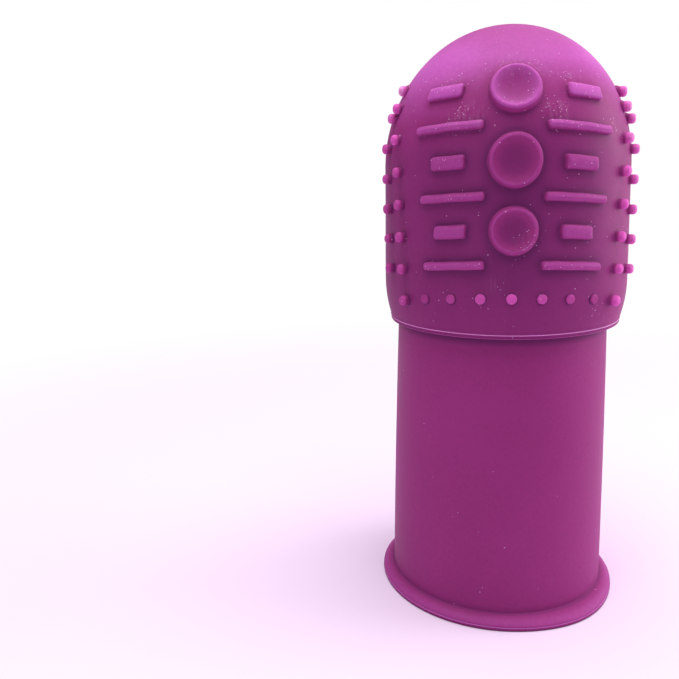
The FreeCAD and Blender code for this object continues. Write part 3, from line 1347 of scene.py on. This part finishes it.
        # Each peg adds its own painted light or shade to the tone.
        own_tone = bench.math("ADD", bench.named("tone"), bench.named("peg_light_shade"))
        dimmed = bench.add(
            "GeometryNodeStoreNamedAttribute",
            data_type="FLOAT",
            domain="POINT",
            inputs={"Geometry": real.outputs[0], "Name": "tone", "Value": own_tone},
        )
        smooth = bench.add("GeometryNodeSetShadeSmooth", inputs={"Geometry": dimmed.outputs[0]})
        dressed = bench.add("GeometryNodeSetMaterial", inputs={"Geometry": smooth.outputs[0]})
        dressed.inputs["Material"].default_value = material
        bench.add("NodeGroupOutput", inputs={0: dressed.outputs[0]})
        return tree

    def build(self, material: bpy.types.Material) -> bpy.types.Object:
        """Run the node tree, keep its result as a plain mesh and hand it over.

        Args:
            material: Finish of the pegs.

        Returns:
            The object that holds all pegs of this kind.
        """
        item = self.carrier()
        tree = self.tree(material)
        modifier = item.modifiers.new("pegs", "NODES")
        modifier.node_group = tree
        values = {
            "Radius": self.radius * MM,
            "Rise": self.rise * MM,
            "Root": self.root * MM,
            "Tip Round": self.tip_round * MM,
            "Foot Round": self.foot_round * MM,
            "Unevenness": self.unevenness,
            "Seed": self.seed,
        }
        for socket in tree.interface.items_tree:
            if socket.in_out == "INPUT" and socket.name in values:
                modifier[socket.identifier] = values[socket.name]
        graph = bpy.context.evaluated_depsgraph_get()
        result = bpy.data.meshes.new_from_object(item.evaluated_get(graph))
        item.modifiers.remove(modifier)
        result.name = self.kind.value
        item.data = result
        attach(item, "root")
        return item


class ShaderGroups:
    """Effects that more than one silicone finish uses, each built once."""

    def __init__(self) -> None:
        """Build the groups."""
        self.dust_and_glints = self.make_dust_and_glints()
        self.grain = self.make_grain()
        self.tone = self.make_tone()

    @staticmethod
    def start(name: str, inputs: dict[str, float], outputs: dict[str, str]) -> NodeBench:
        """Start a shader group with named sockets.

        Args:
            name: Name of the group.
            inputs: Default of each input number by name.
            outputs: Socket type of each output by name.

        Returns:
            A bench on the new group.
        """
        tree = bpy.data.node_groups.new(name, "ShaderNodeTree")
        for label, value in inputs.items():
            socket = tree.interface.new_socket(label, in_out="INPUT", socket_type="NodeSocketFloat")
            socket.default_value = value
        for label, kind in outputs.items():
            tree.interface.new_socket(label, in_out="OUTPUT", socket_type=kind)
        return NodeBench(tree)

    def make_dust_and_glints(self) -> bpy.types.NodeTree:
        """Specks of dust and painted crest glints in clusters, and a faint bloom in upright streaks
        where thick.

        Returns:
            The group.
        """
        bench = self.start(
            "dust_and_glint_specks",
            {"Amount": 0.01, "Speck": 0.3, "Cells": 7600.0},
            {"Mask": "NodeSocketFloat", "Bloom": "NodeSocketFloat"},
        )
        given = bench.add("NodeGroupInput").outputs
        place = bench.add("ShaderNodeTexCoord").outputs["Object"]
        cells = bench.add("ShaderNodeTexVoronoi", inputs={"Vector": place, "Scale": given["Cells"]})
        chance = bench.add("ShaderNodeSeparateColor", inputs={0: cells.outputs["Color"]})
        cloud = bench.add(
            "ShaderNodeTexNoise", inputs={"Vector": place, "Scale": 900.0, "Detail": 3.0}
        )
        gather = bench.ramp(cloud.outputs[0], 0.35, 0.65)
        limit = bench.math("MULTIPLY", gather, given["Amount"])
        chosen = bench.math("LESS_THAN", chance.outputs[0], limit)
        size = bench.math("MULTIPLY", given["Speck"], bench.math("ADD", chance.outputs[1], 0.4))
        near = bench.math("LESS_THAN", cells.outputs["Distance"], size)
        upright = bench.add("ShaderNodeMapping", inputs={0: place, 3: (1.0, 1.0, 0.16)})
        streak = bench.add(
            "ShaderNodeTexNoise",
            inputs={"Vector": upright.outputs[0], "Scale": 3400.0, "Detail": 2.0},
        )
        thick = bench.ramp(given["Amount"], 0.02, 0.3)
        bloom = bench.math("MULTIPLY", bench.ramp(streak.outputs[0], 0.42, 0.7), thick)
        bench.add("NodeGroupOutput", inputs={0: bench.math("MULTIPLY", chosen, near), 1: bloom})
        return bench.tree

    def make_grain(self) -> bpy.types.NodeTree:
        """Fine matt grain of the mould's surface, as a height.

        Returns:
            The group.
        """
        bench = self.start("mould_grain", {"Coarse": 0.35}, {"Height": "NodeSocketFloat"})
        given = bench.add("NodeGroupInput").outputs
        place = bench.add("ShaderNodeTexCoord").outputs["Object"]
        fine = bench.add(
            "ShaderNodeTexNoise", inputs={"Vector": place, "Scale": 9000.0, "Detail": 2.0}
        )
        wide = bench.add(
            "ShaderNodeTexNoise", inputs={"Vector": place, "Scale": 700.0, "Detail": 3.0}
        )
        share = bench.math("MULTIPLY", wide.outputs[0], given["Coarse"])
        bench.add("NodeGroupOutput", inputs={0: bench.math("ADD", fine.outputs[0], share)})
        return bench.tree

    def make_tone(self) -> bpy.types.NodeTree:
        """Slow change of tone over the surface, from 0 to 1.

        Returns:
            The group.
        """
        bench = self.start("slow_tone", {"Scale": 60.0}, {"Tone": "NodeSocketFloat"})
        given = bench.add("NodeGroupInput").outputs
        place = bench.add("ShaderNodeTexCoord").outputs["Object"]
        cloud = bench.add(
            "ShaderNodeTexNoise", inputs={"Vector": place, "Scale": given["Scale"], "Detail": 2.0}
        )
        bench.add("NodeGroupOutput", inputs={0: bench.ramp(cloud.outputs[0], 0.3, 0.7)})
        return bench.tree


@dataclass(frozen=True)
class SiliconeFinish:
    """Matt, slightly see-through silicone rubber with a soft pale sheen."""

    name: str
    deep: tuple[float, float, float, float] = linear(145, 47, 116)
    light: tuple[float, float, float, float] = linear(150, 50, 121)
    # Painted colours: shade for painted shade and the fine mottle, pale for painted light, thin for
    # painted highlights.
    shade: tuple[float, float, float, float] = linear(100, 35, 91)
    pale: tuple[float, float, float, float] = linear(186, 86, 174)
    thin: tuple[float, float, float, float] = linear(255, 214, 248)
    dust_and_glints: tuple[float, float, float, float] = linear(238, 196, 232)
    roughness: float = 0.5
    dust_amount: float = 0.0
    speck: float = 0.68
    bloom: float = 0.05
    mottle: float = 0.12
    grain: float = 0.35
    grain_depth: float = 0.00002
    sheen: float = 0.02
    sheen_roughness: float = 0.4
    sheen_tint: tuple[float, float, float, float] = (1.0, 0.72, 0.95, 1.0)
    subsurface: float = 0.25
    subsurface_spread: tuple[float, float, float] = (1.0, 0.25, 0.7)
    subsurface_depth: float = 0.0009
    refraction: float = 1.43
    specular: float = 0.12

    def build(self, groups: ShaderGroups) -> bpy.types.Material:
        """Make the material.

        Args:
            groups: The shared effects.

        Returns:
            The new material.
        """
        material = bpy.data.materials.new(self.name)
        material.use_nodes = True
        material.node_tree.nodes.clear()
        bench = NodeBench(material.node_tree)
        tone = bench.add("ShaderNodeGroup", node_tree=groups.tone, inputs={"Scale": 90.0})
        mottle = bench.add("ShaderNodeGroup", node_tree=groups.tone, inputs={"Scale": 2600.0})
        colour = bench.mix(tone.outputs[0], self.deep, self.light)
        # The tone attribute paints light and shade: towards pale above 0, thin above 1, shade below
        # 0.
        lift = bench.add("ShaderNodeAttribute", attribute_name="tone").outputs["Fac"]
        colour = bench.mix(bench.ramp(lift, 0.0, 1.0), colour, self.pale)
        colour = bench.mix(bench.ramp(lift, 1.0, 2.0), colour, self.thin)
        colour = bench.mix(bench.ramp(lift, 0.0, -1.0), colour, self.shade)
        spotted = bench.math("MULTIPLY", mottle.outputs[0], self.mottle)
        colour = bench.mix(spotted, colour, self.shade)
        # The dust amount also marks painted glints along the rib crests.
        cover = bench.add("ShaderNodeAttribute", attribute_name="dust_and_glints").outputs["Fac"]
        amount = bench.math("ADD", cover, self.dust_amount)
        dust_and_glints = bench.add("ShaderNodeGroup", node_tree=groups.dust_and_glints, inputs={"Amount": amount})
        bloom = bench.math("MULTIPLY", dust_and_glints.outputs["Bloom"], self.bloom)
        speck = bench.math("MULTIPLY", dust_and_glints.outputs["Mask"], self.speck)
        colour = bench.mix(bench.math("MAXIMUM", bloom, speck), colour, self.dust_and_glints)
        grain = bench.add("ShaderNodeGroup", node_tree=groups.grain)
        bump = bench.add(
            "ShaderNodeBump",
            inputs={
                "Strength": self.grain,
                "Distance": self.grain_depth,
                "Height": grain.outputs[0],
            },
        )
        uneven = bench.add(
            "ShaderNodeMapRange",
            inputs={0: tone.outputs[0], 3: self.roughness - 0.03, 4: self.roughness + 0.05},
        )
        shader = bench.add(
            "ShaderNodeBsdfPrincipled",
            inputs={
                "Base Color": colour,
                "Roughness": uneven.outputs[0],
                "Normal": bump.outputs[0],
                "Subsurface Weight": self.subsurface,
                "Subsurface Radius": self.subsurface_spread,
                "Subsurface Scale": self.subsurface_depth,
                "Sheen Weight": self.sheen,
                "Sheen Roughness": self.sheen_roughness,
                "Sheen Tint": self.sheen_tint,
                "IOR": self.refraction,
                "Specular IOR Level": self.specular,
            },
        )
        bench.add("ShaderNodeOutputMaterial", inputs={0: shader.outputs[0]})
        return material


@dataclass(frozen=True)
class PegSilicone(SiliconeFinish):
    """The same silicone on the small pegs, where painted light is pinker, standing in for light
    inside them.
    """

    pale: tuple[float, float, float, float] = linear(214, 92, 184)
    dust_amount: float = 0.05


@dataclass(frozen=True)
class Lamp:
    """One square soft lamp: its place and side in millimetres, and its power in watts."""

    name: str
    place: tuple[float, float, float]
    size: float
    power: float

    def hang(self, aim: tuple[float, float, float]) -> None:
        """Hang the lamp so that it points at a place.

        Args:
            aim: The place, in millimetres.
        """
        data = bpy.data.lights.new(self.name, "AREA")
        data.size = self.size * MM
        data.energy = self.power
        item = bpy.data.objects.new(self.name, data)
        item.location = Vector(self.place) * MM
        way = Vector(aim) * MM - item.location
        item.rotation_euler = way.to_track_quat("-Z", "Y").to_euler()
        bpy.context.scene.collection.objects.link(item)


@dataclass
class Studio:
    """Plain pale floor, soft lamps and the camera."""

    lens: float = 39.093
    place: tuple[float, float, float] = (-6.52, -82.03, 46.57)
    heading_deg: float = 8.0
    pitch_deg: float = 12.812
    roll_deg: float = -1.32
    floor_half: float = 900.0
    floor_colour: tuple[float, float, float, float] = linear(234, 212, 238)
    floor_fade: tuple[float, float] = (0.03, 0.16)
    room_side: float = 0.5
    room_front: float = 0.08
    room_left: float = 0.6
    gloss_side: float = 0.6
    gloss_front: float = 0.08
    dark_way: tuple[float, float, float] = (0.12, -0.97, 0.1)
    dark_fade: tuple[float, float] = (0.95, 0.1)
    left_fade: tuple[float, float] = (-0.9, 0.6)
    white: tuple[float, float, float, float] = (1.0, 1.0, 1.0, 1.0)
    lamp_aim: tuple[float, float, float] = (0.0, 0.0, 35.0)
    lamps: tuple[Lamp, ...] = (
        Lamp("top_lamp", (0.0, -20.0, 260.0), 260.0, 0.8),
        Lamp("right_lamp", (250.0, 50.0, 110.0), 180.0, 0.48),
        Lamp("front_lamp", (-150.0, -200.0, 110.0), 160.0, 0.09),
    )

    def camera(self) -> None:
        """Set up the camera at the photograph's viewing angle."""
        data = bpy.data.cameras.new("camera")
        data.lens = self.lens
        data.sensor_width = 36.0
        data.clip_start = 0.002
        item = bpy.data.objects.new("camera", data)
        turn = Matrix.Rotation(math.radians(self.heading_deg), 4, "Z")
        turn = turn @ Matrix.Rotation(math.radians(90 - self.pitch_deg), 4, "X")
        turn = turn @ Matrix.Rotation(math.radians(self.roll_deg), 4, "Z")
        item.matrix_world = Matrix.Translation(Vector(self.place) * MM) @ turn
        bpy.context.scene.collection.objects.link(item)
        bpy.context.scene.camera = item

    def floor(self) -> None:
        """Lay the pale floor, which turns plain white away from the object."""
        size = self.floor_half
        corners = [(-size, -size, 0), (size, -size, 0), (size, size, 0), (-size, size, 0)]
        item = new_mesh("floor", np.array(corners), [(0, 1, 2, 3)])
        material = bpy.data.materials.new("pale_floor")
        material.use_nodes = True
        material.node_tree.nodes.clear()
        bench = NodeBench(material.node_tree)
        place = bench.add("ShaderNodeTexCoord").outputs["Object"]
        far = bench.add("ShaderNodeVectorMath", operation="LENGTH", inputs={0: place})
        fade = bench.ramp(far.outputs["Value"], *self.floor_fade)
        seen = bench.add("ShaderNodeLightPath")
        rays = bench.math("ADD", seen.outputs["Is Camera Ray"], seen.outputs["Is Glossy Ray"])
        rays = bench.math("ADD", rays, seen.outputs["Is Transmission Ray"], clamp=True)
        share = bench.math("MULTIPLY", fade, rays)
        matt = bench.add("ShaderNodeBsdfDiffuse", inputs={"Color": self.floor_colour})
        white = bench.add("ShaderNodeEmission", inputs={"Color": self.white})
        mix = bench.add(
            "ShaderNodeMixShader", inputs={0: share, 1: matt.outputs[0], 2: white.outputs[0]}
        )
        bench.add("ShaderNodeOutputMaterial", inputs={0: mix.outputs[0]})
        item.data.materials.append(material)

    def world(self) -> None:
        """Fill the room with even light and a white backdrop."""
        world = bpy.data.worlds.new("room")
        bpy.context.scene.world = world
        world.use_nodes = True
        world.node_tree.nodes.clear()
        bench = NodeBench(world.node_tree)
        seen = bench.add("ShaderNodeLightPath").outputs
        way = bench.add("ShaderNodeTexCoord").outputs["Generated"]
        ahead = bench.add(
            "ShaderNodeVectorMath", operation="DOT_PRODUCT", inputs={0: way, 1: self.dark_way}
        )
        side = bench.ramp(ahead.outputs["Value"], *self.dark_fade)
        across = bench.add("ShaderNodeSeparateXYZ", inputs={0: way}).outputs[0]
        right = bench.ramp(across, *self.left_fade)
        lit = bench.math("MULTIPLY", side, bench.blend(right, self.room_left, 1.0))
        room = bench.math("ADD", bench.math("MULTIPLY", lit, self.room_side), self.room_front)
        bright = bench.math("MULTIPLY", bench.math("MULTIPLY", side, right), self.gloss_side)
        gloss = bench.math("ADD", bright, self.gloss_front)
        room = bench.blend(seen["Is Glossy Ray"], room, gloss)
        plain = bench.math("ADD", seen["Is Camera Ray"], seen["Is Transmission Ray"], clamp=True)
        strength = bench.blend(plain, room, 1.0)
        back = bench.add(
            "ShaderNodeBackground", inputs={"Color": self.white, "Strength": strength}
        )
        bench.add("ShaderNodeOutputWorld", inputs={0: back.outputs[0]})

    def build(self) -> None:
        """Set up the whole studio."""
        bpy.context.scene.view_settings.view_transform = "Standard"
        self.camera()
        self.floor()
        self.world()
        for lamp in self.lamps:
            lamp.hang(self.lamp_aim)


@dataclass
class PegPlan:
    """Where the nubs and studs stand on the cap, and how much painted light or shade each one
    takes.
    """

    rows: TextureRows
    nub_rows: int = 7
    inner_reach: float = 11.25
    inner_reach_step: float = 0.27
    inner_drop: float = 0.15
    left_turn: float = 0.022
    # Painted light or shade of each inner nub, row by row from the bottom: darker on the left,
    # paler on the right.
    left_inner_tones: tuple[float, ...] = (-0.45, -0.4, -0.38, -0.38, -0.32, 0.0, 0.12)
    right_inner_tones: tuple[float, ...] = (0.1, 0.15, 0.12, 0.1, 0.2, 0.35, 0.4)
    outer_deg: float = 64.8
    outer_step_deg: float = 1.4
    outer_height: float = 36.6
    outer_pitch: float = 2.95
    outer_lean: float = 0.1
    outer_lean_step: float = 0.05
    outer_top_drop: float = 0.3
    # Painted light or shade of each outer nub, row by row from the bottom.
    left_outer_tones: tuple[float, ...] = (-0.45, -0.45, -0.45, -0.32, -0.25, 0.35, 0.55)
    right_outer_tones: tuple[float, ...] = (0.3, 0.3, 0.32, 0.35, 0.35, 0.4, 0.35)
    stud_pitch_deg: float = 12.6
    stud_turn_deg: float = -0.2
    left_spread_deg: float = 0.17
    stud_shares: tuple[float, ...] = (1.0, 0.9, 0.75, 0.6)
    # Painted shade of each stud, from the middle out.
    stud_painted_shade: tuple[float, ...] = (-0.12, -0.25, -0.45, -0.65)
    nub_radius: float = 0.52
    nub_rise: float = 0.88
    nub_round: float = 0.34
    stud_radius: float = 0.5
    stud_rise: float = 0.34
    stud_round: float = 0.2
    nub_seed: int = 4
    stud_seed: int = 9

    def height_at(self, course: np.ndarray, angle: float) -> float:
        """Height of a row's course at an angle from the front."""
        along = np.interp(angle, self.rows.angles, course)
        return float(self.rows.meridian.height(along))

    def nubs(self) -> list[tuple[float, float, float, float]]:
        """Two columns of nubs on each side.

        Returns:
            Angle, height, share of full height and painted tone of each nub.
        """
        meridian = self.rows.meridian
        inner_tones = (self.left_inner_tones, self.right_inner_tones)
        outer_tones = (self.left_outer_tones, self.right_outer_tones)
        found = []
        for place in range(self.nub_rows):
            course = self.rows.course(place)
            middle = self.rows.first_height + place * self.rows.pitch
            row_radius = float(meridian.radius(meridian.at_height(middle)))
            inner = (self.inner_reach + self.inner_reach_step * place) / row_radius
            outer = math.radians(self.outer_deg + self.outer_step_deg * place)
            lean = self.outer_lean + self.outer_lean_step * place
            high = self.outer_height + self.outer_pitch * place
            if place == self.nub_rows - 1:
                high -= self.outer_top_drop
            for number, side in enumerate((-1, 1)):
                turn = side * inner - self.left_turn * (side < 0)
                height = self.height_at(course, turn) - self.inner_drop
                found.append((turn, height, 1.0, inner_tones[number][place]))
                tone = outer_tones[number][place]
                found.append((side * outer, high - side * lean, 1.0, tone))
        return found

    def studs(self) -> list[tuple[float, float, float, float]]:
        """The bottom row of low studs, which shrink and darken with painted shade towards its ends.

        Returns:
            Angle, height, share of full height and painted tone of each stud.
        """
        course = self.rows.course(0)
        last = len(self.stud_shares) - 1
        found = []
        for step in range(-last, last + 1):
            spread = self.left_spread_deg * min(0, step) ** 2
            angle = math.radians(self.stud_pitch_deg * step + self.stud_turn_deg - spread)
            share, tone = self.stud_shares[abs(step)], self.stud_painted_shade[abs(step)]
            found.append((angle, self.height_at(course, angle), share, tone))
        return found

    def fields(self) -> list[PegField]:
        """Plan one field for each kind of peg.

        Returns:
            The field of nubs and the field of studs.
        """
        sizes = (self.nub_radius, self.nub_rise, self.nub_round, self.nub_seed)
        nubs = PegField(PegKind.NUB, self.nubs(), self.rows.meridian, *sizes)
        sizes = (self.stud_radius, self.stud_rise, self.stud_round, self.stud_seed)
        return [nubs, PegField(PegKind.STUD, self.studs(), self.rows.meridian, *sizes)]


def main() -> None:
    """Build the thimble's looks and the studio."""
    logging.basicConfig(level=logging.INFO, format="%(name)s: %(message)s")
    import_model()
    Studio().build()
    groups = ShaderGroups()
    body_finish = SiliconeFinish("magenta_silicone").build(groups)
    peg_finish = PegSilicone("peg_silicone").build(groups)
    meridian = Meridian()
    rows = TextureRows(meridian)
    moulding = ThimbleBody(meridian, TexturedCap(meridian, rows), DustAndCrestGlints(meridian))
    body = moulding.build(body_finish)
    LOG.info("%s: %d faces", body.name, len(body.data.polygons))
    for pegs in PegPlan(rows).fields():
        item = pegs.build(peg_finish)
        LOG.info("%s: %d faces", item.name, len(item.data.polygons))


if __name__ == "__main__":
    main()
